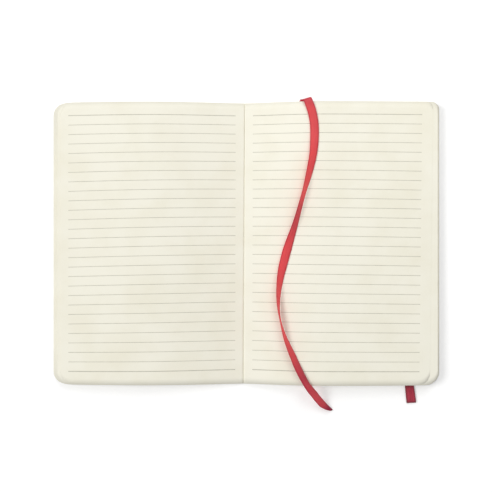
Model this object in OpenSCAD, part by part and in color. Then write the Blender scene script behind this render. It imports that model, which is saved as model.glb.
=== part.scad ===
// Open ruled notebook with a soft flush-cut cover, a ribbon marker and an elastic band.
// It lies open on its covers: X runs from the left page to the right page, Y from tail to head.
// The origin is the centre of the spine strip's underside below the gutter, so the table is z = 0.

/* [Format] */
// Width of a leaf from the spine to its fore-edge
page_w = 140; // [110:1:170]
// Height of a leaf from tail to head
page_h = 210; // [160:1:250]
// Radius of the trimmed outer corners
corner_r = 9; // [4:0.5:14]
// Radius of the right half's outer corner at the head, which is trimmed tighter
tight_corner_r = 4.5; // [3:0.5:14]

/* [Opened place] */
// Thickness of the leaves that lie on the left
left_stack_t = 2.4; // [1.6:0.2:5]
// Thickness of the leaves that lie on the right
right_stack_t = 5.6; // [3:0.2:8]
// Steps in which the leaves fan out at each fore-edge
fan_steps = 12; // [6:1:16]

/* [Lie of the leaves] */
// Height of the top leaves at the gutter above the spine lining
gutter_rise = 0.9; // [0.7:0.1:2]
// Depth of the fold line between the two top leaves
fold_depth = 0.5; // [0.2:0.1:0.6]
// Width of the fold line
fold_w = 1.6; // [1:0.2:3]
// Air under the left top leaf at its crest
left_arch = 5.4; // [2:0.2:8]
// Air under the right top leaf at its crest
right_arch = 3.6; // [2:0.2:8]
// Air under the left top leaf at its fore-edge
left_loose = 1.2; // [0:0.1:2]
// Air under the right top leaf at its fore-edge
right_loose = 0.2; // [0:0.1:2]
// Distance of the left crest from the gutter
left_crest_x = 72; // [50:1:80]
// Distance of the right crest from the gutter
right_crest_x = 62; // [50:1:80]
// Length of the left top leaf that stands hidden in the gutter
left_hidden = 2.7; // [0.5:0.1:4]
// Length of the right top leaf that stands hidden in the gutter
right_hidden = 0.8; // [0.5:0.1:4]

/* [Cover] */
// Thickness of the cover sheet
cover_t = 0.8; // [0.6:0.1:1.6]
// Extra spine width at each side for the turn of the cover
spine_wrap = 0.4; // [0.2:0.1:1]
// Width of the pressed crease between the spine and each cover
crease_w = 0.2; // [0.1:0.05:0.4]
// Thickness of the endpapers pasted inside the covers
endpaper_t = 0.15; // [0.1:0.05:0.3]
// Thickness of the gauze lining glued on the spine
lining_t = 0.3; // [0.2:0.05:0.5]
// Clearance between the leaves and the endpapers
page_gap = 0.45; // [0.4:0.05:0.8]

/* [Elastic band] */
// Width of the elastic
elastic_w = 6.5; // [4:0.5:10]
// Thickness of the elastic
elastic_t = 0.6; // [0.4:0.1:1]
// Distance of the elastic from the back cover's fore-edge
elastic_inset = 22; // [16:1:35]
// Distance of the slits from the head and the tail of the cover
slit_inset = 6; // [4:0.5:12]
// Clearance of the elastic in its slits
slit_clear = 0.1; // [0.05:0.05:0.2]
// Length of the slack loop beyond the tail edge
loop_l = 14; // [8:1:20]
// Turn of the slack loop towards the fore-edge
loop_lean = 4.5; // [0:0.5:8]

/* [Ribbon marker] */
// Width of the ribbon
ribbon_w = 6.4; // [4:0.2:8]
// Thickness of the ribbon
ribbon_t = 0.25; // [0.15:0.05:0.25]

/* [Hidden] */

$fn = 96;
CREAM = "#f3eee0";
OFF_WHITE = "#efeeea";
GAUZE = "#e6e1d2";
RED = "#cf3f4b";
DARK_RED = "#9b2f42";

LEFT = 0;
RIGHT = 1;
stack_t = [left_stack_t, right_stack_t];
arch = [left_arch, right_arch];
loose = [left_loose, right_loose];
crest_x = [left_crest_x, right_crest_x];
hidden = [left_hidden, right_hidden];
head_corner_r = [corner_r, tight_corner_r];
hinge_x = [left_stack_t + spine_wrap, right_stack_t + spine_wrap];

// The elastic lies in two layers under the back cover and props it up a little
layer_gap = 0.1;
elastic_stack = 2 * elastic_t + 2 * layer_gap;
elastic_reach = page_w - elastic_inset;
back_tilt = atan(elastic_stack / (elastic_reach - elastic_w / 2));

lining_top = cover_t + lining_t;
seat_z = cover_t + endpaper_t + page_gap;
valley_z = lining_top + gutter_rise;

curve_steps = 40;
rise_power = 1.15;
overlap = 1;
head_y = page_h / 2;

// Height that the tilted back cover adds below the right leaves
function lift(side, u) = side == RIGHT ? max(0, u - hinge_x[side]) * tan(back_tilt) : 0;

// Underside of the leaves beyond the hinge
function seat(side, u) = seat_z + lift(side, u);

// Highest point of the top leaf, and its height at the fore-edge
function crest_z(side) = seat_z + lift(side, crest_x[side]) + stack_t[side] + arch[side];
function edge_z(side, reach) = seat_z + lift(side, reach) + stack_t[side] + loose[side];

// Top leaf: a quarter sine up to the crest, then a quarter cosine down to the fore-edge
function leaf_z(side, u, reach) =
    u < crest_x[side]
        ? valley_z + (crest_z(side) - valley_z) * sin(90 * pow(u / crest_x[side], rise_power))
        : crest_z(side) - (crest_z(side) - edge_z(side, reach))
            * (1 - cos(90 * (u - crest_x[side]) / (reach - crest_x[side])));

// What the arch takes from the leaf's width: the sum of slanted steps less their flat length
function arch_loss(side, reach, i = 0) =
    i >= curve_steps ? 0
    : let (a = reach * i / curve_steps, b = reach * (i + 1) / curve_steps)
      norm([b - a, leaf_z(side, b, reach) - leaf_z(side, a, reach)]) - (b - a)
      + arch_loss(side, reach, i + 1);

// How far the top leaf and the lowest leaf reach from the gutter
function top_reach(side) =
    page_w - hidden[side] - arch_loss(side, page_w - hidden[side]);
function low_reach(side) = hinge_x[side] + page_w;
function step_reach(side, k) =
    low_reach(side) - (low_reach(side) - top_reach(side)) * k / (fan_steps - 1);

// Height of the fan's step k, which shares the loose fore-edge evenly
function step_z(side, k) =
    let (low = seat(side, low_reach(side)))
    low + (edge_z(side, top_reach(side)) - low) * (k + 1) / fan_steps;

// Points of the top leaf from the fold line to the fore-edge
function leaf_points(side) = [
    for (i = [0 : curve_steps])
    let (u = fold_w / 2 + (top_reach(side) - fold_w / 2) * i / curve_steps)
    [u, leaf_z(side, u, top_reach(side))]
];

// Points round the space of the spine strip, cover and endpaper below the leaves
function seat_points(side) = [
    [hinge_x[side] - spine_wrap, 0],
    [hinge_x[side] - spine_wrap, seat_z],
    [hinge_x[side], seat_z],
    [low_reach(side) + overlap, seat(side, low_reach(side) + overlap)],
    [low_reach(side) + overlap, 0]
];

function flip(points) = [for (p = points) [-p[0], p[1]]];
function backwards(points) = [for (i = [len(points) - 1 : -1 : 0]) points[i]];

// A profile in X and Z carried from tail to head
module along_page() {
    rotate([90, 0, 0]) linear_extrude(page_h, center = true) children();
}

// Outline of one half's sheet, whose fore-edge corners are rounded
module sheet_outline(side, from, to) {
    difference() {
        translate([from, -head_y]) square([to - from, page_h]);
        corner_waste(to, 1, head_corner_r[side]);
        corner_waste(to, -1, corner_r);
    }
}

// What the rounding cutter takes off the corner at the head (1) or at the tail (-1)
module corner_waste(to, end, radius) {
    translate([to - radius, end * (head_y - radius)])
        difference() {
            translate([0, end > 0 ? 0 : -radius - overlap]) square(radius + overlap);
            circle(radius);
        }
}

// Uppermost leaves of both halves, down to the spine lining
module top_leaves() {
    intersection() {
        along_page()
            polygon(concat(
                [[-top_reach(LEFT), lining_top]],
                backwards(flip(leaf_points(LEFT))),
                [[0, valley_z - fold_depth]],
                leaf_points(RIGHT),
                [[top_reach(RIGHT), lining_top]]
            ));
        linear_extrude(2 * crest_z(RIGHT)) {
            sheet_outline(RIGHT, 0, top_reach(RIGHT));
            mirror([1, 0]) sheet_outline(LEFT, 0, top_reach(LEFT));
        }
    }
}

// One step of the fan: leaves that reach further out than those above them
module fan_step(side, k) {
    start = top_reach(side) - 2 * corner_r;
    translate([0, 0, lining_top])
        linear_extrude(step_z(side, k) - lining_top)
            sheet_outline(side, start, step_reach(side, k));
}

// Space of the cover below the leaves of one half
module below_seat(side) {
    rotate([90, 0, 0])
        linear_extrude(page_h + 2 * overlap, center = true) polygon(seat_points(side));
}

module pages() {
    color(CREAM)
        difference() {
            union() {
                top_leaves();
                for (k = [0 : fan_steps - 2]) {
                    fan_step(RIGHT, k);
                    mirror([1, 0, 0]) fan_step(LEFT, k);
                }
            }
            below_seat(RIGHT);
            mirror([1, 0, 0]) below_seat(LEFT);
        }
}

// Gauze and paper glued over the backs of the leaves
module spine_lining() {
    color(GAUZE)
        translate([-left_stack_t, -head_y, cover_t])
            cube([left_stack_t + right_stack_t, page_h, lining_t]);
}

// Part of the cover sheet that runs over the spine
module spine_strip() {
    color(OFF_WHITE)
        translate([-hinge_x[LEFT], -head_y, 0])
            cube([hinge_x[LEFT] + hinge_x[RIGHT], page_h, cover_t]);
}

// The children stand in the back cover's own frame: x = 0 at its hinge, z = 0 at its underside
module on_back_cover() {
    translate([hinge_x[RIGHT], 0, 0]) rotate([0, -back_tilt, 0]) children();
}

module on_front_cover() {
    translate([-hinge_x[LEFT], 0, 0]) mirror([1, 0, 0]) children();
}

// Slits through which the elastic enters the back cover
module elastic_slits() {
    for (end = [-1, 1])
        translate([
            elastic_reach - elastic_w / 2 - slit_clear,
            end * (head_y - slit_inset) - elastic_t / 2 - slit_clear,
            -overlap
        ])
            cube([elastic_w + 2 * slit_clear, elastic_t + 2 * slit_clear, cover_t + 2 * overlap]);
}

module front_cover() {
    color(OFF_WHITE)
        on_front_cover() linear_extrude(cover_t) sheet_outline(LEFT, crease_w, page_w);
}

module back_cover() {
    color(OFF_WHITE)
        on_back_cover()
            difference() {
                linear_extrude(cover_t) sheet_outline(RIGHT, crease_w, page_w);
                elastic_slits();
            }
}

module front_endpaper() {
    color(CREAM)
        on_front_cover()
            translate([0, 0, cover_t])
                linear_extrude(endpaper_t) sheet_outline(LEFT, crease_w, page_w);
}

module back_endpaper() {
    color(CREAM)
        on_back_cover()
            translate([0, 0, cover_t])
                linear_extrude(endpaper_t) sheet_outline(RIGHT, crease_w, page_w);
}

// A profile in Y and Z carried over the width of the elastic
module across_elastic() {
    translate([-elastic_w / 2, 0, 0])
        rotate([90, 0, 90]) linear_extrude(elastic_w) children();
}

// Length of elastic at the height of its upper (0) or lower (1) layer
module elastic_run(from_y, to_y, layer) {
    translate([from_y, -(layer + 1) * (elastic_t + layer_gap)])
        square([to_y - from_y, elastic_t]);
}

// Stretch that stands in a slit, from the given layer up to the endpaper
module elastic_riser(y, layer) {
    bottom = -(layer + 1) * (elastic_t + layer_gap);
    translate([y - elastic_t / 2, bottom]) square([elastic_t, cover_t - bottom]);
}

// Slack loop: out over the tail edge in the upper layer, round, and back in the lower one
module elastic_loop() {
    bend_r = elastic_t + layer_gap / 2;
    tip = -(slit_inset + loop_l) + bend_r;
    across_elastic() {
        elastic_run(tip, 0, 0);
        elastic_run(tip, 0, 1);
        translate([tip, -layer_gap / 2 - bend_r])
            difference() {
                circle(bend_r);
                circle(layer_gap / 2);
                translate([0, -bend_r]) square(2 * bend_r);
            }
    }
}

module elastic_band() {
    slit_y = head_y - slit_inset;
    color(DARK_RED)
        on_back_cover()
            translate([elastic_reach, 0, 0])
                union() {
                    across_elastic() {
                        elastic_riser(-slit_y, 0);
                        elastic_riser(slit_y, 1);
                        elastic_run(-slit_y - elastic_t / 2, slit_y + elastic_t / 2, 1);
                    }
                    translate([0, -slit_y, 0]) rotate([0, 0, loop_lean]) elastic_loop();
                }
}

// Ribbon route: x, y and height of its middle, then the turn and the tilt of its left edge.
// It starts at the spine lining, lies below the leaves, folds over the head edge,
// waves down the right page and drops over the tail edge to the table.
ribbon_route = [
    [7, 97, 1.19, 85, 0],
    [14, 95.5, 1.27, 85, 0],
    [22, 95, 1.36, 85, 0],
    [30, 96, 1.45, 75, 0],
    [37, 98.5, 1.53, 60, 0],
    [41.4, 101.4, 1.61, 42, 0],
    [43.8, 104.2, 1.64, 32, 0],
    [45, 106.3, 1.68, 26, 0],
    [45.5, 107.4, 2.8, 6, 0],
    [45.8, 107.7, 5.6, -14, 0],
    [46, 107.6, 8.2, -17, 0],
    [46.4, 107.1, 10.4, -17, 0],
    [47, 106, 11.6, -17, 0],
    [48, 103.5, 11.8, -15, -2],
    [50, 97.5, 11.6, 0, -2],
    [51.5, 90.5, 11.6, 0, 0],
    [52, 82.5, 11.8, 0, 4],
    [51.7, 74, 12.3, 0, 12],
    [50.7, 65, 13.1, 0, 26],
    [49, 56.5, 13.3, 0, 34],
    [46.8, 47.5, 13.5, 0, 44],
    [44.5, 39, 13.6, 0, 55],
    [42, 30, 13.3, 0, 54],
    [39.6, 21, 12.8, 0, 50],
    [37, 12, 12.1, 0, 40],
    [34.3, 3.5, 11, 0, 24],
    [31.6, -5.5, 9.7, 0, 6],
    [29.2, -14.5, 9.6, 0, 12],
    [27.3, -23, 10, 0, 30],
    [26, -32, 10.5, 0, 47],
    [25.4, -41, 10.6, 0, 58],
    [25.8, -50, 10.8, 0, 66],
    [27.2, -58, 11, 0, 70],
    [29.9, -68, 11.4, 0, 62],
    [33.2, -76.5, 11.9, 0, 50],
    [37.2, -85.5, 12.1, 0, 38],
    [41.6, -94, 12.2, 0, 28],
    [46, -102, 12.35, 0, 24],
    [48.3, -105.8, 12.4, 0, 24],
    [51.2, -110.1, 10.8, 0, 24],
    [54.4, -114.5, 7.8, 0, 25],
    [57.8, -118.6, 5, 0, 26],
    [60.8, -122.2, 2.8, 0, 22],
    [63.4, -125, 1.5, 0, 16]
];

function place(row) = [row[0], row[1], row[2]];
function unit(v) = v / norm(v);

// Direction of the route at point i
function heading(i) =
    unit(place(ribbon_route[min(i + 1, len(ribbon_route) - 1)]) - place(ribbon_route[max(i - 1, 0)]));

// Direction from the ribbon's middle to its left edge, square to the route
function left_edge(i) =
    let (
        row = ribbon_route[i],
        wish = [-cos(row[3]) * cos(row[4]), sin(row[3]) * cos(row[4]), sin(row[4])],
        along = heading(i)
    )
    unit(wish - (wish * along) * along);

// Four corners of the ribbon's flat section at point i
function ribbon_ring(i) =
    let (
        middle = place(ribbon_route[i]),
        side = left_edge(i) * ribbon_w / 2,
        face = unit(cross(heading(i), left_edge(i))) * ribbon_t / 2
    )
    [middle + side + face, middle - side + face, middle - side - face, middle + side - face];

// Two triangles between the rings i and i + 1, on the strip that starts at corner c.
// The two faces are cut along the same diagonal, so the ribbon keeps its thickness in a twist.
function ribbon_strip(i, c) =
    let (a = 4 * i + c, b = 4 * i + (c + 1) % 4)
    c < 2
        ? [[a, b + 4, b], [a, a + 4, b + 4]]
        : [[a, a + 4, b], [b, a + 4, b + 4]];

module ribbon_marker() {
    rings = len(ribbon_route);
    last = 4 * (rings - 1);
    color(RED)
        polyhedron(
            points = [for (i = [0 : rings - 1]) each ribbon_ring(i)],
            faces = concat(
                [[0, 1, 2], [0, 2, 3]],
                [for (i = [0 : rings - 2], c = [0 : 3]) each ribbon_strip(i, c)],
                [[last + 2, last + 1, last], [last + 3, last + 2, last]]
            )
        );
}

pages();
spine_lining();
spine_strip();
front_cover();
back_cover();
front_endpaper();
back_endpaper();
elastic_band();
ribbon_marker();
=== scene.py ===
import bpy
import numpy as np
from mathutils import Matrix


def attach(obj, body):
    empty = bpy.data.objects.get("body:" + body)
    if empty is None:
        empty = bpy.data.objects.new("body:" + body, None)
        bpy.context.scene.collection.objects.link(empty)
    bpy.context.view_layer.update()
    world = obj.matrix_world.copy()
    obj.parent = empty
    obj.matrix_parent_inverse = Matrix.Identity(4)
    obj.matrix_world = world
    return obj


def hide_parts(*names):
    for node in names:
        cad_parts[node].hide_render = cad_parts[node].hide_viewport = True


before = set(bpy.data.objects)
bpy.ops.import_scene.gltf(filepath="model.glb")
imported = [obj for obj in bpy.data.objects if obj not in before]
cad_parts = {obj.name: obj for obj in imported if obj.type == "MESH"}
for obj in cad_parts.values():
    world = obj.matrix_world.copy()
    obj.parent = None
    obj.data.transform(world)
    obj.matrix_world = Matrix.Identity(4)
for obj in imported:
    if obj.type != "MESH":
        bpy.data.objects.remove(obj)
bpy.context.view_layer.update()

# Cover sheet: one piece of imitation leather folded round the block. The polyurethane skin is
# embossed with a fine pebble grain on a cotton backing. Its creases beside the spine are pressed,
# so the two covers swing on them.
MM = 0.001  # one millimetre, in metres
LEATHER_TONES = ((0.35, "#ece9e2"), (0.65, "#f4f2ec"))
LEATHER_CLOUD = 30 * MM
LEATHER_ROUGHNESS = 0.44, 0.64  # on a pebble and between pebbles
GRAIN_CELL = 1.3 * MM  # real pebbles are about 0.6 mm, drawn twice as coarse so that they show
GRAIN_DEPTH = 0.05 * MM


def linear(code):
    """Linear RGBA of an sRGB hex colour: the sRGB curve undone on each channel."""
    s = np.array([int(code[i:i + 2], 16) for i in (1, 3, 5)]) / 255
    rgb = np.where(s <= 0.04045, s / 12.92, ((s + 0.055) / 1.055) ** 2.4)
    return (*(float(c) for c in rgb), 1.0)


def new_material(name):
    """An empty node material and its tree."""
    material = bpy.data.materials.new(name)
    material.use_nodes = True
    material.node_tree.nodes.clear()
    return material, material.node_tree


def add_node(tree, kind, settings=None, **inputs):
    """Adds one node. settings are its own properties. inputs are its sockets, by name with spaces
    as underscores, or by number as i0, i1 and so on: a number or a colour is set, and another
    node's socket is linked."""
    node = tree.nodes.new(kind)
    for key, value in (settings or {}).items():
        setattr(node, key, value)
    for key, value in inputs.items():
        name = key.replace("_", " ")
        socket = node.inputs[int(key[1:])] if key[1:].isdigit() else node.inputs[name]
        if isinstance(value, bpy.types.NodeSocket):
            tree.links.new(value, socket)
        else:
            socket.default_value = value
    return node


def ramp(tree, factor, stops):
    """A colour ramp over factor through stops of (place, sRGB hex)."""
    node = add_node(tree, "ShaderNodeValToRGB", Fac=factor)
    while len(node.color_ramp.elements) < len(stops):
        node.color_ramp.elements.new(0.5)
    for element, (place, code) in zip(node.color_ramp.elements, stops):
        element.position = place
        element.color = linear(code)
    return node.outputs["Color"]


def object_place(tree):
    """Where a point is, in the piece's own metres."""
    return add_node(tree, "ShaderNodeTexCoord").outputs["Object"]


def noise(tree, place, size, detail, roughness=0.5):
    """Noise with patches of about a size. Each octave of detail is weaker by the roughness."""
    return add_node(tree, "ShaderNodeTexNoise", Vector=place, Scale=1 / size, Detail=detail,
                    Roughness=roughness).outputs["Fac"]


def relief(tree, pattern, depth, strength, invert=False):
    """The normal of a surface that rises with the pattern, by the depth, or falls if inverted."""
    return add_node(tree, "ShaderNodeBump", {"invert": invert}, Strength=strength, Distance=depth,
                    Height=pattern).outputs["Normal"]


def finish_material(tree, shader):
    """Links a shader to the material's output."""
    add_node(tree, "ShaderNodeOutputMaterial", Surface=shader.outputs[0])


def embossed_leather():
    """Polyurethane skin: pebbles that fall away with the distance to the nearest cell's centre, and
    a soft cloudy tone."""
    material, tree = new_material("polyurethane leather, embossed")
    place = object_place(tree)
    pebbles = add_node(tree, "ShaderNodeTexVoronoi", {"feature": "SMOOTH_F1"},
                       Vector=place, Scale=1 / GRAIN_CELL, Smoothness=0.4).outputs["Distance"]
    clouds = noise(tree, place, LEATHER_CLOUD, 4.0)
    rough = add_node(tree, "ShaderNodeMapRange", Value=pebbles, i3=LEATHER_ROUGHNESS[0],
                     i4=LEATHER_ROUGHNESS[1]).outputs["Result"]
    shader = add_node(tree, "ShaderNodeBsdfPrincipled", Base_Color=ramp(tree, clouds, LEATHER_TONES),
                      Roughness=rough, Normal=relief(tree, pebbles, GRAIN_DEPTH, 0.6, invert=True))
    finish_material(tree, shader)
    return material


leather = embossed_leather()
for name in ("front_cover", "spine_strip", "back_cover"):
    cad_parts[name].material_slots[0].material = leather

# Endpapers: one leaf of heavier uncoated paper pasted inside each cover. The paste leaves its tone
# a little blotchy, and it is trimmed flush with the cover.
ENDPAPER_TONES = ((0.5, "#efe9d8"), (0.85, "#f6f1e3"))
ENDPAPER_FIBRE = 0.7 * MM  # real fibres are about 0.03 mm wide, drawn coarser so that they show
ENDPAPER_DEPTH, PASTE_BLOTCH = 0.03 * MM, 12 * MM
FIBRE_SQUASH = 0.35  # fibres lie along the page, about three times as long as wide
FIBRE_SHARE, SHEET_SHARE = 0.35, 0.15  # of fibres and of a sheet's own tone, beside the clouds


def drawn_out(tree, place, squash):
    """The place with its Y made smaller, so that a pattern over it is drawn out along Y."""
    return add_node(tree, "ShaderNodeMapping", Vector=place,
                    Scale=(1.0, squash, 1.0)).outputs["Vector"]


def plus_share(tree, base, value, share):
    """The base plus a share of a value."""
    return add_node(tree, "ShaderNodeMath", {"operation": "MULTIPLY_ADD"}, i0=value, i1=share,
                    i2=base).outputs["Value"]


def uncoated_paper(name, tones, fibre, depth, cloud):
    """Uncoated stock: short fibres from stretched noise, a cloudy look-through, and each sheet's
    own tone, where a piece has that attribute. The shade is clouds plus their shares of both."""
    material, tree = new_material(name)
    place = object_place(tree)
    fibres = noise(tree, drawn_out(tree, place, FIBRE_SQUASH), fibre, 5.0, roughness=0.65)
    clouds = noise(tree, place, cloud, 3.0)
    sheet = add_node(tree, "ShaderNodeAttribute", {"attribute_name": "tone"}).outputs["Fac"]
    shade = plus_share(tree, plus_share(tree, clouds, sheet, SHEET_SHARE), fibres, FIBRE_SHARE)
    shader = add_node(tree, "ShaderNodeBsdfPrincipled", Base_Color=ramp(tree, shade, tones),
                      Roughness=0.88, Normal=relief(tree, fibres, depth, 0.35))
    finish_material(tree, shader)
    return material


endpaper = uncoated_paper("uncoated endpaper, pasted", ENDPAPER_TONES, ENDPAPER_FIBRE,
                          ENDPAPER_DEPTH, PASTE_BLOTCH)
for name in ("front_endpaper", "back_endpaper"):
    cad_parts[name].material_slots[0].material = endpaper

# Spine lining: open cotton gauze glued over the backs of the leaves, which shows only at the head
# and the tail. Threads cross at 1 mm, with glue between them.
THREAD_PITCH, THREAD_DEPTH = 1.0 * MM, 0.1 * MM
GAUZE_TONES = ((0.4, "#cfc8b4"), (0.9, "#ece6d6"))
BAND = 0.314  # width of one band of a wave texture at scale 1, 2 pi / 20


def waves(tree, place, way, pitch, wobble=0.0):
    """Sine waves along X or Y, one to each pitch, and bent by the wobble."""
    return add_node(tree, "ShaderNodeTexWave", {"bands_direction": way}, Vector=place,
                    Scale=BAND / pitch, Distortion=wobble).outputs["Fac"]


def glued_gauze():
    """Crossing threads: the larger of two patterns of waves, one along X and one along Y."""
    material, tree = new_material("cotton gauze, glued")
    place = object_place(tree)
    warp, weft = (waves(tree, place, way, THREAD_PITCH, 0.6) for way in ("X", "Y"))
    threads = add_node(tree, "ShaderNodeMath", {"operation": "MAXIMUM"}, i0=warp,
                       i1=weft).outputs["Value"]
    shader = add_node(tree, "ShaderNodeBsdfPrincipled", Base_Color=ramp(tree, threads, GAUZE_TONES),
                      Roughness=0.8, Normal=relief(tree, threads, THREAD_DEPTH, 0.7))
    finish_material(tree, shader)
    return material


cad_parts["spine_lining"].material_slots[0].material = glued_gauze()

# Leaves: about 80 sheets of cream uncoated book paper, bound along the spine and trimmed with
# rounded corners. Each is a sheet of its own, 24 to the left and 56 to the right. Open, they fan
# out at the fore-edge in fine steps, and the loose top ones lie further back.
LEAF_W, LEAF_H, LEAF_T = 140 * MM, 210 * MM, 0.1 * MM
SHEET_T = 0.9 * LEAF_T  # the rest is the air between two leaves
CORNER_R = {-1: (9 * MM, 9 * MM), 1: (9 * MM, 4.5 * MM)}  # left and right half, at tail and head
CORNER_COLUMNS = 9
LEAVES = {-1: 24, 1: 56}
SECTION, SECTION_STEP = 8, 0.3  # leaves folded together, and a section's extra slip for each
LOOSE_LEAVES = 3
HINGE_X = {-1: 2.8 * MM, 1: 6.0 * MM}  # the covers' creases, from the gutter
REACH_TOP = {-1: 136.7 * MM, 1: 138.8 * MM}  # the loose leaves' fore-edge, from the gutter
LEDGE_W = {-1: 2.6 * MM, 1: 4.7 * MM}  # how far the leaf below them reaches past that
SKEW = {-1: 0.0, 1: 0.0116}  # how far the loose leaves lean, by height
CREST_X = {-1: 72 * MM, 1: 62 * MM}
ARCH = {-1: 5.4 * MM, 1: 3.6 * MM}  # air below the crest
LOOSE = {-1: 1.2 * MM, 1: 0.2 * MM}  # air below the top leaf's fore-edge
LINING_TOP, SEAT_Z = 1.1 * MM, 1.4 * MM
VALLEY_Z = 2.0 * MM  # the top leaf's height at the gutter, before it bends into the glue
BACK_TILT = 1.4 / 114.75  # two layers of elastic, over their distance from the hinge
RISE_POWER = 1.15  # above 1, a page rises later from the gutter
ROOT_HEAD, ROOT_TAIL = 0.5 * MM, 1.8 * MM  # how wide the bend into the glue is
GUTTER_LEAN, GUTTER_BLEND = 0.0043, 8 * MM  # the gutter's slant, and where that fades
WAVE_H, WAVE_ALONG, WAVE_ACROSS = 0.22 * MM, 31 * MM, 40 * MM
TRIM_SLIP, HEIGHT_SLIP = 0.08 * MM, 0.0008  # the second as a share of the height
SEEN_GRID, HIDDEN_GRID = (64, 45), (30, 7)  # columns and rows of an upper and of a lower leaf
GUTTER_CROWD = 1.7  # how much closer the columns are by the gutter
PAPER_TONES = ((0.5, "#f0ecda"), (0.85, "#f5f2e3"))
PAPER_FIBRE = 0.5 * MM  # drawn coarser than real, as for the endpapers
PAPER_DEPTH, PAPER_CLOUD = 0.015 * MM, 25 * MM
slip = np.random.default_rng(11)


def stack_top(side, u):
    """Height of the top leaf at u from the gutter: a quarter sine, of the share of the way raised
    to RISE_POWER, up to the crest and a quarter cosine down to the fore-edge, on top of the tilt
    that the elastic gives the right half."""
    lift = BACK_TILT * max(0.0, side)
    stack = LEAVES[side] * LEAF_T
    crest = SEAT_Z + lift * (CREST_X[side] - HINGE_X[side]) + stack + ARCH[side]
    edge = SEAT_Z + lift * (REACH_TOP[side] - HINGE_X[side]) + stack + LOOSE[side]
    up = np.sin(np.pi / 2 * np.clip(u / CREST_X[side], 0, 1) ** RISE_POWER)
    past = np.clip((u - CREST_X[side]) / (REACH_TOP[side] - CREST_X[side]), 0, 1)
    down = 1 - np.cos(np.pi / 2 * past)
    return VALLEY_Z + (crest - VALLEY_Z) * up - (crest - edge) * down


def seat(side, u):
    """Height of the endpaper's clearance below the leaves: level, or tilted on the right."""
    return SEAT_Z + BACK_TILT * max(0.0, side) * np.maximum(0, u - HINGE_X[side])


def leaf_height(side, share, reach, u, y):
    """Top surface of the leaf at a share of the stack, from 0 below to 1 on top. It lies at that
    share between seat and top, bends down into the glue like a quarter circle, which widens from
    head to tail, and has a long shallow wave that grows towards the fore-edge."""
    even = u * REACH_TOP[side] / reach
    height = seat(side, u) + share * (stack_top(side, even) - seat(side, even))
    start = LEAVES[side] * LEAF_T * (1 - share)
    root = ROOT_HEAD + (ROOT_TAIL - ROOT_HEAD) * (0.5 - y / LEAF_H)
    t = np.clip((u - start) / root, 0, 1)
    height = LINING_TOP + (height - LINING_TOP) * np.sqrt(1 - (1 - t) ** 2)
    wave = np.sin(y / WAVE_ALONG + side) * np.sin(u / WAVE_ACROSS)
    return height + WAVE_H * share ** 2 * (u / reach) ** 2 * wave


def leaf_grid(side, share, reach, columns, rows):
    """u and y of a leaf's points. Columns run from the spine to the fore-edge, closest by the
    spine and in the corners, and none twice. Each ends on its corner's arc: half the height less
    r, plus the root of r^2 - (u - reach + r)^2."""
    start = LEAVES[side] * LEAF_T * (1 - share)
    across = np.linspace(0, 1, columns) ** GUTTER_CROWD
    flat = start + (reach - max(CORNER_R[side]) - start) * across
    angle = np.linspace(0, np.pi / 2, CORNER_COLUMNS)[1:]
    bends = [reach - r * (1 - np.sin(angle)) for r in CORNER_R[side]]
    u = np.unique(np.round(np.concatenate([flat, *bends]), 7))
    tail, head = (LEAF_H / 2 - r + np.sqrt(np.maximum(0, r ** 2 - np.maximum(0, u - reach + r) ** 2))
                  for r in CORNER_R[side])
    y = -tail[:, None] + (tail + head)[:, None] * np.linspace(0, 1, rows)[None, :]
    return np.repeat(u[:, None], rows, axis=1), y


def closed_sheet(top, bottom):
    """Points and quads of a closed sheet between two grids of points: both faces, then a wall
    round the rim. The last value is the wall's number of quads."""
    n, m = top.shape[:2]
    index = np.arange(n * m).reshape(n, m)
    a, b, c, d = index[:-1, :-1], index[1:, :-1], index[1:, 1:], index[:-1, 1:]
    face = np.stack([a, b, c, d], axis=-1).reshape(-1, 4)
    rim = np.concatenate([index[:, 0], index[-1, 1:], index[-2::-1, -1], index[0, -2:0:-1]])
    step = np.roll(rim, -1)
    wall = np.stack([rim, rim + n * m, step + n * m, step], axis=-1)
    points = np.concatenate([top.reshape(-1, 3), bottom.reshape(-1, 3)])
    return points, np.concatenate([face, face[:, ::-1] + n * m, wall]), len(wall)


def mesh_piece(name, points, quads, body, smooth=True):
    """A mesh object from arrays of points and quads, on a body."""
    mesh = bpy.data.meshes.new(name)
    mesh.vertices.add(len(points))
    mesh.vertices.foreach_set("co", np.asarray(points, dtype=np.float32).ravel())
    mesh.loops.add(quads.size)
    mesh.loops.foreach_set("vertex_index", quads.astype(np.int32).ravel())
    mesh.polygons.add(len(quads))
    mesh.polygons.foreach_set("loop_start", np.arange(0, quads.size, 4, dtype=np.int32))
    mesh.polygons.foreach_set("use_smooth", np.full(len(quads), smooth))
    mesh.update(calc_edges=True)
    mesh.validate()
    piece = bpy.data.objects.new(name, mesh)
    bpy.context.scene.collection.objects.link(piece)
    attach(piece, body)
    return piece


def leaf_points(side, share, reach, u, y, skew):
    """Points on a leaf's top surface at u from the gutter and at y. Loose leaves lean by skew, more
    towards the fore-edge, and all lean a little along the gutter."""
    lean = GUTTER_LEAN * y * np.exp(-u / GUTTER_BLEND)
    x = side * (u + skew * y * u / reach) + lean
    return np.stack([x, y, leaf_height(side, share, reach, u, y)], axis=-1)


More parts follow.
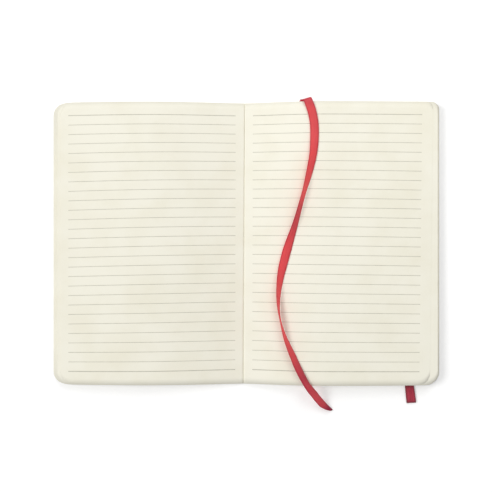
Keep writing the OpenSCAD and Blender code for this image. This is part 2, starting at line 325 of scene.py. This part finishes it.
def leaf_reaches(side):
    """How far each leaf reaches, from the lowest to the top one: even steps with a wider one
    after each section, then the ledge up to the loose leaves, and a little slip in each."""
    count = LEAVES[side] - LOOSE_LEAVES
    step = np.ones(count)
    step[::SECTION] += SECTION_STEP * SECTION
    back = (np.cumsum(step) - step[0]) / (np.sum(step) - step[0])
    low, high = HINGE_X[side] + LEAF_W, REACH_TOP[side] + LEDGE_W[side]
    fan = low - (low - high) * back - slip.uniform(0, TRIM_SLIP, count)
    return np.concatenate([fan, np.full(LOOSE_LEAVES, REACH_TOP[side])])


def leaf_block(side, name):
    """All leaves of one half as closed sheets, from the lowest to the top one, each with its own
    slight tone."""
    count = LEAVES[side]
    points, quads, tones, edges, base = [], [], [], [], 0
    for k, reach in enumerate(leaf_reaches(side)):
        share = (k + 1) / count
        upper = k >= count - LOOSE_LEAVES - 1
        u, y = leaf_grid(side, share, reach, *(SEEN_GRID if upper else HIDDEN_GRID))
        skew = SKEW[side] if k >= count - LOOSE_LEAVES else 0.0
        grid = leaf_points(side, share, reach, u, y * (1 - slip.uniform(0, HEIGHT_SLIP)), skew)
        if side < 0:
            grid = grid[:, ::-1]
        sheet, faces, walls = closed_sheet(grid, grid - (0, 0, SHEET_T))
        points.append(sheet)
        quads.append(faces + base)
        base += len(sheet)
        tones.append(np.full(len(faces), slip.uniform(0, 1) if k < count - 1 else 0.5))
        edges.append(np.arange(len(faces)) >= len(faces) - walls)
    piece = mesh_piece(name, np.concatenate(points), np.concatenate(quads), "book_block")
    tone = piece.data.attributes.new("tone", "FLOAT", "FACE")
    tone.data.foreach_set("value", np.concatenate(tones).astype(np.float32))
    piece.data.polygons.foreach_set("use_smooth", ~np.concatenate(edges))
    piece.data.materials.append(paper)
    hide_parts("pages")


paper = uncoated_paper("uncoated book paper, cream", PAPER_TONES, PAPER_FIBRE, PAPER_DEPTH,
                       PAPER_CLOUD)
leaf_block(-1, "leaves_left")
leaf_block(1, "leaves_right")

# Ruling: 28 grey lines printed on each page, the first and the last heavier. The ink lies on the
# paper as thin strips. The lines bow towards the head beside the gutter, as the leaves lie there.
LINES = 28
LINE_PITCH = 7.05 * MM
LINE_W, HEAD_LINE_W, TAIL_LINE_W = 0.38 * MM, 0.5 * MM, 0.6 * MM
LINE_FROM, LINE_TO = 6.4 * MM, 130.8 * MM
LINE_BOW = {-1: (2.45 * MM, 0.0), 1: (2.45 * MM, 0.9 * MM)}  # at the gutter and at the line's end
BOW_FADE = 1.6  # how late along the line its bow changes
BOW_CENTRE, BOW_HALF = -9 * MM, 114 * MM  # up the page, where it is full, and how far on it is gone
LINE_POINTS = 80
INK_LIFT, INK_SOAK = 0.02 * MM, 0.03 * MM
INK_TONES = ((0.35, "#bab7a8"), (0.65, "#c8c5b6"))
INK_PATCH = 4 * MM


def printed_ink():
    """Offset ink on rough stock: its density varies over a few millimetres."""
    material, tree = new_material("offset ink, grey")
    density = noise(tree, object_place(tree), INK_PATCH, 4.0)
    shader = add_node(tree, "ShaderNodeBsdfPrincipled", Base_Color=ramp(tree, density, INK_TONES),
                      Roughness=0.8)
    finish_material(tree, shader)
    return material


def tube(rings):
    """Quads of a closed strip, with one ring of points after another and a flat cap at each end,
    itself made of quads across the ring. [:, ::-1] turns them all over."""
    n, m = rings.shape[:2]
    index = np.arange(n * m).reshape(n, m)
    after = np.roll(index, -1, axis=1)
    sides = np.stack([index[:-1], after[:-1], after[1:], index[1:]], axis=-1).reshape(-1, 4)
    half = np.arange(m // 2 - 1)
    cap = np.stack([half, half + 1, m - 2 - half, m - 1 - half], axis=-1)
    return np.concatenate([sides, cap[:, ::-1], cap + (n - 1) * m])


def ruled_lines():
    """One flat closed strip for each line of both pages, along the top leaf's surface: its upper
    side is just above the leaf and its lower side in it. The bow fades from the gutter to the
    line's end by a power of the way, and up and down the page as a cosine."""
    along = np.linspace(LINE_FROM, LINE_TO, LINE_POINTS)
    points, quads, base = [], [], 0
    for side in (-1, 1):
        for line in range(LINES):
            width = {0: HEAD_LINE_W, LINES - 1: TAIL_LINE_W}.get(line, LINE_W)
            middle = ((LINES - 1) / 2 - line) * LINE_PITCH
            inner, outer = LINE_BOW[side]
            bow = inner + (outer - inner) * (along / LINE_TO) ** BOW_FADE
            bow = bow * np.cos((middle - BOW_CENTRE) / BOW_HALF * np.pi / 2)
            low, high = (
                leaf_points(side, 1.0, REACH_TOP[side], along, middle + bow + shift, SKEW[side])
                for shift in (-width / 2, width / 2)
            )
            up, down = (0, 0, INK_LIFT), (0, 0, -INK_SOAK)
            rings = np.stack([low + up, high + up, high + down, low + down], axis=1)
            quads.append(tube(rings)[:, ::-side] + base)
            points.append(rings.reshape(-1, 3))
            base += len(points[-1])
    return mesh_piece("page_ruling", np.concatenate(points), np.concatenate(quads), "book_block",
                      smooth=False)


ruling = ruled_lines()
ruling.data.materials.append(printed_ink())

# Ribbon marker: a woven satin ribbon, glued in at the spine's head. It lies below the leaves,
# folds over the head edge, waves down the right page and drops over the tail edge to the table,
# where it ends in a slanting cut.
RIBBON_W, RIBBON_T = 6.4 * MM, 0.25 * MM
RIBBON_ROUTE = np.array([  # x, y, z in mm, then the turn and the tilt of the left edge in degrees
    (7, 97, 1.19, 85, 0), (14, 95.5, 1.27, 85, 0), (22, 95, 1.36, 85, 0), (30, 96, 1.45, 75, 0),
    (37, 98.5, 1.53, 60, 0), (41.4, 101.4, 1.61, 42, 0), (43.8, 104.2, 1.64, 32, 0),
    (45, 106.3, 1.68, 26, 0), (45.5, 107.4, 2.8, 6, 0), (45.8, 107.7, 5.6, -14, 0),
    (46, 107.6, 8.2, -17, 0), (46.4, 107.1, 10.4, -17, 0), (47, 106, 11.6, -17, 0),
    (48, 103.5, 11.8, -15, -2), (50, 97.5, 11.6, 0, -2), (51.5, 90.5, 11.6, 0, 0),
    (52, 82.5, 11.8, 0, 4), (51.7, 74, 12.3, 0, 12), (50.7, 65, 13.1, 0, 26),
    (49, 56.5, 13.3, 0, 34), (46.8, 47.5, 13.5, 0, 44), (44.5, 39, 13.6, 0, 55),
    (42, 30, 13.3, 0, 54), (39.6, 21, 12.8, 0, 50), (37, 12, 12.1, 0, 40), (34.3, 3.5, 11, 0, 24),
    (31.6, -5.5, 9.7, 0, 6), (29.2, -14.5, 9.6, 0, 12), (27.3, -23, 10, 0, 30),
    (26, -32, 10.5, 0, 47), (25.4, -41, 10.6, 0, 60), (25.8, -50, 10.8, 0, 73),
    (27.2, -58, 11, 0, 77), (29.9, -68, 11.4, 0, 64), (33.2, -76.5, 11.9, 0, 50),
    (37.2, -85.5, 12.1, 0, 38), (41.6, -94, 12.2, 0, 28), (46, -102, 12.35, 0, 24),
    (48.3, -105.8, 12.4, 0, 24), (51.2, -110.1, 10.8, 0, 24), (54.4, -114.5, 7.8, 0, 25),
    (57.8, -118.6, 5, 0, 26), (60.8, -122.2, 2.8, 0, 22), (63.4, -125, 1.5, 0, 16),
])
CURVE_STEPS, ROUTE_STEP = 24, 0.25 * MM  # between two rows, and along the smooth route
RIBBON_RINGS, RIBBON_POINTS = 400, 12  # points on one side of a ring
BEAD, BEAD_AT, BEAD_W = 0.25, 0.93, 0.05  # a selvedge's extra thickness, place and width, as shares
EDGE_TAPER, EDGE_LEAST = 12, 0.25  # how fast a band thins at its edges, and down to what share
CUT_REACH, CUT_LENGTH = 3.0 * MM, 9.2 * MM  # of its tip past the route, and from tip to heel
CUT_ROUND = 1.8  # above 1, its tip is blunter
CURL_FROM, CURL_FULL = 250 * MM, 272 * MM  # the free end curls across, from here along the ribbon
CURL_NARROW, CURL_LIFT = 0.85, 0.75  # its share of the width, and how far the curl raises it
RIBBON_LENGTH = 301 * MM
SELVEDGE_FROM, SELVEDGE_FULL = 1.2 * MM, 0.36 * MM  # where its tone starts and is full, from the edge
SATIN_TONES = ((0.35, "#ea5a62"), (0.65, "#f87072"))
SELVEDGE_TONE = "#c63c4c"
THROUGH_TONE = "#ff949a"  # what light keeps on its way through the thin cloth
RIBBON_PAINTED_SHADE_TONE, RIBBON_PAINTED_SHADE_THROUGH_TONE = "#b0284e", "#b84070"  # painted shade on the ribbon, and on the light that passes through it there
RIBBON_PAINTED_SHADE = (  # how much painted shade, by share of the length: at the head's fold, at the twist and at the free end
    (0.165, "#a0a0a0"), (0.2, "#000000"), (0.42, "#000000"), (0.45, "#8c8c8c"), (0.495, "#808080"),
    (0.55, "#000000"), (0.77, "#000000"), (0.83, "#6c6c6c"), (0.885, "#c4c4c4"), (0.94, "#747474"),
    (0.98, "#9c9c9c"), (1.0, "#ffffff"),
)
WARP_STREAK, WARP_SQUASH = 0.35 * MM, 0.04  # a streak's width, and that as a share of its length
WEFT_PITCH = 0.7 * MM  # real threads are about 0.15 mm, drawn coarser so that they show
WEFT_SHARE, WEAVE_DEPTH = 0.5, 0.05 * MM
THROUGH_SHARE = 0.5  # of the cloth that acts as translucent


def smooth_path(rows, spacing):
    """Catmull-Rom curve through the rows, a cubic between each two whose slope at a row is half the
    step from the row before to the row after. It is then resampled at even steps of its length.
    Each column is one value along the route, the first three a place."""
    ends = np.vstack([2 * rows[0] - rows[1], rows, 2 * rows[-1] - rows[-2]])
    t = np.linspace(0, 1, CURVE_STEPS, endpoint=False)[:, None]
    a, b, c, d = ends[:-3, None], ends[1:-2, None], ends[2:-1, None], ends[3:, None]
    curve = 0.5 * (2 * b + (c - a) * t + (2 * a - 5 * b + 4 * c - d) * t ** 2
                   + (3 * b - a - 3 * c + d) * t ** 3)
    curve = np.vstack([curve.reshape(-1, rows.shape[1]), rows[-1]])
    length = np.concatenate([[0], np.cumsum(np.linalg.norm(np.diff(curve[:, :3], axis=0), axis=1))])
    even = np.arange(0, length[-1], spacing)
    return even, np.stack([np.interp(even, length, column) for column in curve.T], axis=1)


def unit(v):
    """Vectors over their length."""
    return v / np.linalg.norm(v, axis=-1, keepdims=True)


def flat_section(points_a_side, thickness, bead):
    """Across-places from -1 to 1 and back, with their heights: half the thickness, tapered at both
    edges, and thicker by a bell curve near them, as woven selvedges are."""
    across = -np.cos(np.linspace(0, np.pi, points_a_side))
    height = thickness / 2 * np.clip(EDGE_TAPER * (1 - np.abs(across)), EDGE_LEAST, 1)
    height = height * (1 + bead * np.exp(-((np.abs(across) - BEAD_AT) / BEAD_W) ** 2))
    return np.concatenate([across, across[::-1]]), np.concatenate([height, -height[::-1]])


def lay_cloth(piece, across, along):
    """A UV map named cloth, in metres across and along a band, so that the weave follows it."""
    cloth = piece.data.uv_layers.new(name="cloth")
    corner = np.empty(len(piece.data.loops), dtype=np.int32)
    piece.data.loops.foreach_get("vertex_index", corner)
    flat = np.stack(np.broadcast_arrays(across, along), axis=-1).reshape(-1, 2)
    cloth.data.foreach_set("uv", flat[corner].astype(np.float32).ravel())


def streaks_along(tree, cloth, width, squash):
    """Noise drawn out along a band, for threads that take the dye or the light unevenly."""
    return noise(tree, drawn_out(tree, cloth, squash), width, 3.0)


def near_edge(tree, across, half, start, full):
    """0 in the middle of a band and 1 along its edges. It grows from start to full, both measured
    from the edge."""
    away = add_node(tree, "ShaderNodeMath", {"operation": "ABSOLUTE"}, i0=across).outputs["Value"]
    return add_node(tree, "ShaderNodeMapRange", Value=away, i1=half - start,
                    i2=half - full).outputs["Result"]


def mixed(tree, factor, first, second):
    """The colour that lies the factor of the way from the first to the second."""
    return add_node(tree, "ShaderNodeMix", {"data_type": "RGBA"}, Factor=factor, i6=first,
                    i7=second).outputs[2]


def satin():
    """Satin: warp floats give a streaked sheen along the ribbon, and fine weft ribs cross it. The
    selvedges are darker, and painted shade darkens it at the head's fold, at the twist and at the free
    end. Thin cloth lets some of the light through."""
    material, tree = new_material("polyester satin, woven")
    cloth = add_node(tree, "ShaderNodeUVMap", {"uv_map": "cloth"}).outputs["UV"]
    parts = add_node(tree, "ShaderNodeSeparateXYZ", Vector=cloth).outputs
    streaks = streaks_along(tree, cloth, WARP_STREAK, WARP_SQUASH)
    ribs = waves(tree, cloth, "Y", WEFT_PITCH, 0.3)
    edge = near_edge(tree, parts["X"], RIBBON_W / 2, SELVEDGE_FROM, SELVEDGE_FULL)
    share = add_node(tree, "ShaderNodeMath", {"operation": "DIVIDE"}, i0=parts["Y"],
                     i1=RIBBON_LENGTH).outputs["Value"]
    # painted shade along the ribbon: at the head's fold, at the twist and at the free end
    painted_shade_on_ribbon = ramp(tree, share, RIBBON_PAINTED_SHADE)
    dyed = mixed(tree, edge, ramp(tree, streaks, SATIN_TONES), linear(SELVEDGE_TONE))
    colour = mixed(tree, painted_shade_on_ribbon, dyed, linear(RIBBON_PAINTED_SHADE_TONE))
    weave = relief(tree, plus_share(tree, streaks, ribs, WEFT_SHARE), WEAVE_DEPTH, 0.4)
    front = add_node(tree, "ShaderNodeBsdfPrincipled", Base_Color=colour, Roughness=0.42,
                     Normal=weave, Sheen_Weight=0.1, Sheen_Roughness=0.5)
    inner = mixed(tree, painted_shade_on_ribbon, linear(THROUGH_TONE), linear(RIBBON_PAINTED_SHADE_THROUGH_TONE))
    through = add_node(tree, "ShaderNodeBsdfTranslucent", Color=inner)
    shader = add_node(tree, "ShaderNodeMixShader", Fac=THROUGH_SHARE, i1=front.outputs[0],
                      i2=through.outputs[0])
    finish_material(tree, shader)
    return material


def ribbon():
    """The flat section carried along the route. Each ring's left edge points as the route's turn
    and tilt say, made square to the path, and the far end is sheared for the slanting cut. The
    free end curls: its edges go down, as the square of the way across, by half the width times
    the root of 1 - narrow^2, and the whole is lifted by a share of that."""
    at, rows = smooth_path(RIBBON_ROUTE * (MM, MM, MM, 1, 1), ROUTE_STEP)
    along = unit(np.gradient(rows[:, :3], axis=0))
    turn, tilt = np.radians(rows[:, 3]), np.radians(rows[:, 4])
    wish = np.stack([-np.cos(turn) * np.cos(tilt), np.sin(turn) * np.cos(tilt), np.sin(tilt)], axis=1)
    left = unit(wish - np.sum(wish * along, axis=1, keepdims=True) * along)
    face = unit(np.cross(along, left))
    across, height = flat_section(RIBBON_POINTS, RIBBON_T, BEAD)
    length = at[-1]
    ring_at = np.linspace(0, length, RIBBON_RINGS)
    cut = CUT_REACH - CUT_LENGTH * ((1 - across) / 2) ** CUT_ROUND
    blend = 2 * CUT_LENGTH
    place = ring_at[:, None] + cut * np.clip((ring_at[:, None] - length + blend) / blend, 0, 1) ** 2
    over = np.maximum(0, place - length)[..., None]
    middle = np.stack([np.interp(place, at, c) for c in rows[:, :3].T], axis=-1) + over * along[-1]
    side = np.stack([np.interp(place, at, c) for c in left.T], axis=-1)
    up = np.stack([np.interp(place, at, c) for c in face.T], axis=-1)
    bent = np.clip((place - CURL_FROM) / (CURL_FULL - CURL_FROM), 0, 1)
    narrow = 1 - (1 - CURL_NARROW) * bent * bent * (3 - 2 * bent)
    curl = RIBBON_W / 2 * np.sqrt(1 - narrow ** 2)
    rings = middle - side * (across * RIBBON_W / 2 * narrow)[..., None]
    rings = rings + up * (height + curl * across ** 2)[..., None]
    rings[..., 2] += CURL_LIFT * curl
    piece = mesh_piece("ribbon", rings.reshape(-1, 3), tube(rings), "book_block")
    lay_cloth(piece, across * RIBBON_W / 2, place)
    centre = np.stack([np.interp(ring_at, at, c) for c in rows[:, :3].T], axis=-1)
    return piece, centre, length


marker, marker_path, marker_length = ribbon()
marker.data.materials.append(satin())
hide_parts("ribbon_marker")

# Elastic band: a flat woven elastic, let into two slits of the back cover. It runs out over the
# tail edge as a slack loop and back below the cover. Rubber cords under the threads raise ribs.
ELASTIC_W, ELASTIC_T = 6.5 * MM, 0.6 * MM
ELASTIC_X = 118 * MM  # from the hinge
SLIT_Y = 99 * MM  # of both slits, from the middle of the cover's height
SLIT_BEND = 0.35 * MM  # the band's radius as it turns into a slit
COVER_T, LAYER_GAP = 0.8 * MM, 0.1 * MM
LOOP_OUT, COVER_EDGE = 20.7 * MM, 6 * MM  # the loop's end and the cover's edge, from the tail slit
LOOP_LEAN, LOOP_SLANT = np.radians(6.7), np.radians(3.6)  # outwards, and the turn of its end
SLACK_WIDER = 0.1  # how much wider its end is, as a share
PATH_STEP, BEND_POINTS, TURN_POINTS, RUN_POINTS, REST_POINTS = 1 * MM, 5, 13, 14, 60
ELASTIC_POINTS = 40  # on one side of a ring
RIBS, RIB_H = 9, 0.05 * MM
ELASTIC_TONES = ((0.5, "#7e162a"), (0.85, "#b92f46"))
# the second tone is painted shade, for the fold of the loop's end and the cover's shadow
ELASTIC_SELVEDGE, ELASTIC_PAINTED_SHADE_TONE = "#8e2b3a", "#5e1a24"
DARKER_FROM, DARKER_FULL = 1.5 * MM, 0.6 * MM  # the selvedge's tone, from the edge
THREAD_W, THREAD_H = 0.6 * MM, 0.08 * MM  # real ones are about 0.3 mm, drawn coarser so that they show
THREAD_SHARE, WEAVE_SHARE = 0.5, 0.35  # of threads beside cords, and of both beside the streaks
DYE_STREAK, DYE_SQUASH = 1.3 * MM, 0.22  # a streak's width, and that as a share of its length
ELASTIC_PAINTED_SHADES = (  # painted shade at the fold of the loop's end, and painted shadow where the cover's edge shades it: place from the tail slit, width and strength of each
    (LOOP_OUT, 1.6 * MM, 0.7),
    (COVER_EDGE + 1.9 * MM, 0.9 * MM, 0.6),
)


def woven_elastic():
    """Woven elastic: dark gaps between the cords, short threads across them, and streaks where the cords
    are dyed unevenly. Its selvedges are darker, and painted shade darkens it at the fold of the loop's
    end and where the cover's edge shades it."""
    material, tree = new_material("woven elastic, dark red")
    cloth = add_node(tree, "ShaderNodeUVMap", {"uv_map": "cloth"}).outputs["UV"]
    across = add_node(tree, "ShaderNodeSeparateXYZ", Vector=cloth).outputs["X"]
    cords = waves(tree, cloth, "X", ELASTIC_W / RIBS)
    threads = waves(tree, cloth, "Y", THREAD_W, 1.5)
    weave = plus_share(tree, cords, threads, THREAD_SHARE)
    streaks = streaks_along(tree, cloth, DYE_STREAK, DYE_SQUASH)
    dyed = ramp(tree, plus_share(tree, streaks, weave, WEAVE_SHARE), ELASTIC_TONES)
    edge = near_edge(tree, across, ELASTIC_W / 2, DARKER_FROM, DARKER_FULL)
    # painted shade and painted shadow, read from the point attribute that the band carries
    crease = add_node(tree, "ShaderNodeAttribute", {"attribute_name": "crease"}).outputs["Fac"]
    colour = mixed(tree, edge, dyed, linear(ELASTIC_SELVEDGE))
    colour = mixed(tree, crease, colour, linear(ELASTIC_PAINTED_SHADE_TONE))
    shader = add_node(tree, "ShaderNodeBsdfPrincipled", Base_Color=colour, Roughness=0.75,
                      Normal=relief(tree, weave, THREAD_H, 0.6), Sheen_Weight=0.2)
    finish_material(tree, shader)
    return material


def elastic():
    """The ribbed section carried along its path in the back cover's frame: down through the tail
    slit, out in the upper layer, round the loop's end, back in the lower layer, and up at the
    head slit. A rib is one wave of a cosine across the band. Past the cover's edge the loop leans
    and grows wider, as slack elastic does. The cover's frame is then tilted about the hinge."""
    upper, lower = -(ELASTIC_T / 2 + LAYER_GAP), -(1.5 * ELASTIC_T + 2 * LAYER_GAP)
    bend = (upper - lower) / 2
    tip = LOOP_OUT - bend - ELASTIC_T / 2
    turn = np.linspace(0, np.pi, TURN_POINTS)[1:]
    corner = np.linspace(0, np.pi / 2, BEND_POINTS)[1:]
    down = np.array([(0.0, COVER_T), (0.0, upper + SLIT_BEND)])
    out = (0.0, upper) + SLIT_BEND * np.stack([1 - np.cos(corner), 1 - np.sin(corner)], axis=1)
    run = np.stack([np.linspace(PATH_STEP, tip, RUN_POINTS), np.full(RUN_POINTS, upper)], axis=1)
    loop = (tip, (upper + lower) / 2) + bend * np.stack([np.sin(turn), np.cos(turn)], axis=1)
    back = np.stack([np.linspace(tip - PATH_STEP, 0, RUN_POINTS), np.full(RUN_POINTS, lower)], axis=1)
    rest = -np.linspace(2 * PATH_STEP, 2 * SLIT_Y - SLIT_BEND, REST_POINTS)
    rest = np.stack([rest, np.full(REST_POINTS, lower)], axis=1)
    rise = np.stack([1 - np.sin(corner), 1 - np.cos(corner)], axis=1)
    rise = (-2 * SLIT_Y, lower) + SLIT_BEND * rise
    up = np.array([(-2 * SLIT_Y, COVER_T)])
    path = np.concatenate([down, out, run, loop, back, rest, rise, up])
    gone = np.concatenate([[0], np.cumsum(np.linalg.norm(np.diff(path, axis=0), axis=1))])
    free = np.maximum(0, path[:, :1] - COVER_EDGE)
    share = free / (LOOP_OUT - COVER_EDGE)
    slant = LOOP_SLANT * share
    heading = unit(np.gradient(path, axis=0))
    across, height = flat_section(ELASTIC_POINTS, ELASTIC_T, 0.0)
    ribs = np.sign(height) * RIB_H * (0.5 - 0.5 * np.cos(np.pi * RIBS * (across + 1)))
    height = height - np.sign(height) * RIB_H + ribs
    x = across[None, :] * ELASTIC_W / 2 * (1 + SLACK_WIDER * share * (2 - share))
    y_out = path[:, :1] - heading[:, 1:] * height[None, :]
    z = path[:, 1:] + heading[:, :1] * height[None, :]
    turned_x = x * np.cos(slant) + free * np.tan(LOOP_LEAN)
    turned_y = -SLIT_Y - (y_out - x * np.sin(slant))
    tilt = np.arctan(BACK_TILT)
    from_hinge = ELASTIC_X + turned_x
    rings = np.stack([HINGE_X[1] + from_hinge * np.cos(tilt) - z * np.sin(tilt), turned_y,
                      from_hinge * np.sin(tilt) + z * np.cos(tilt)], axis=-1)
    piece = mesh_piece("elastic", rings.reshape(-1, 3), tube(rings)[:, ::-1], "back")
    lay_cloth(piece, across * ELASTIC_W / 2, gone[:, None])
    # painted shade at the fold of the loop's end and painted shadow of the cover's edge, kept as a point
    # attribute
    creases = sum(dark * np.exp(-((path[:, :1] - place) / width) ** 2) for place, width, dark in ELASTIC_PAINTED_SHADES)
    crease = piece.data.attributes.new("crease", "FLOAT", "POINT")
    crease.data.foreach_set("value", np.broadcast_to(creases, x.shape).astype(np.float32).ravel())
    return piece


band = elastic()
band.data.materials.append(woven_elastic())
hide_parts("elastic_band")

# Stage: a plain white floor that shows the object's shadow, a large soft lamp from the upper left,
# a small one beyond the head, an even fill, and a camera straight above, as in the photograph.
CAMERA_AT = (1.5 * MM, -1.85 * MM, 560 * MM)
FOCAL_PX, PHOTO_PX = 744.7, 492  # the photograph's focal length and width in its pixels
SENSOR = 36.0  # in mm
FLOOR_Z = -0.1 * MM  # just clear of the cover's underside
FLOOR_HALF = 700 * MM
FLOOR_TONE = "#f4f4f4"
FLOOR_GLOW = 0.2
GLOW_NEAR, GLOW_FAR = 210 * MM, 500 * MM  # where the glow starts to grow, and where it is full
FILL = 0.49
LAMPS = (  # name, place and size in m, power in W
    ("key", (-2.70, 0.38, 2.74), 1.7, 66.0),
    ("head", (0.20, 0.42, 0.55), 0.4, 1.35),
)


def studio_floor():
    """White card, lit as any surface. To the camera it glows a little, so that it reads as pure
    white where nothing shades it, and more by distance, so that it meets the white beyond it."""
    material, tree = new_material("white card")
    card = add_node(tree, "ShaderNodeBsdfDiffuse", Color=linear(FLOOR_TONE))
    place = object_place(tree)
    away = add_node(tree, "ShaderNodeVectorMath", {"operation": "LENGTH"}, i0=place).outputs["Value"]
    level = add_node(tree, "ShaderNodeMapRange", {"interpolation_type": "SMOOTHSTEP"}, Value=away,
                     i1=GLOW_NEAR, i2=GLOW_FAR, i3=FLOOR_GLOW, i4=1.0).outputs["Result"]
    sees = add_node(tree, "ShaderNodeLightPath").outputs["Is Camera Ray"]
    strength = add_node(tree, "ShaderNodeMath", {"operation": "MULTIPLY"}, i0=sees,
                        i1=level).outputs["Value"]
    glow = add_node(tree, "ShaderNodeEmission", Strength=strength)
    both = add_node(tree, "ShaderNodeAddShader", i0=card.outputs[0], i1=glow.outputs[0])
    finish_material(tree, both)
    return material


def studio():
    """The floor, the fill from all sides, the lamps, aimed at the object, and the camera. The fill
    is FILL for the light and 1 for the eye, so that what lies beyond the floor is white."""
    mesh = bpy.data.meshes.new("floor")
    corners = [(x * FLOOR_HALF, y * FLOOR_HALF, FLOOR_Z) for x, y in ((-1, -1), (1, -1), (1, 1), (-1, 1))]
    mesh.from_pydata(corners, [], [(0, 1, 2, 3)])
    floor = bpy.data.objects.new("floor", mesh)
    bpy.context.scene.collection.objects.link(floor)
    mesh.materials.append(studio_floor())
    world = bpy.data.worlds.new("studio")
    world.use_nodes = True
    tree = world.node_tree
    tree.nodes.clear()
    sees = add_node(tree, "ShaderNodeLightPath").outputs["Is Camera Ray"]
    strength = add_node(tree, "ShaderNodeMapRange", Value=sees, i3=FILL, i4=1.0).outputs["Result"]
    sky = add_node(tree, "ShaderNodeBackground", Color=(1, 1, 1, 1), Strength=strength)
    add_node(tree, "ShaderNodeOutputWorld", Surface=sky.outputs[0])
    bpy.context.scene.world = world
    for name, place, size, power in LAMPS:
        lamp = bpy.data.lights.new(name, "AREA")
        lamp.shape, lamp.size, lamp.energy = "DISK", size, power
        holder = bpy.data.objects.new(name, lamp)
        holder.location = place
        holder.rotation_euler = (-holder.location).to_track_quat("-Z", "Y").to_euler()
        bpy.context.scene.collection.objects.link(holder)
    lens = bpy.data.cameras.new("camera")
    lens.sensor_width = SENSOR
    lens.lens = FOCAL_PX / PHOTO_PX * SENSOR
    camera = bpy.data.objects.new("camera", lens)
    camera.location = CAMERA_AT
    bpy.context.scene.collection.objects.link(camera)
    bpy.context.scene.camera = camera


studio()
bpy.context.scene.view_settings.view_transform = "Standard"
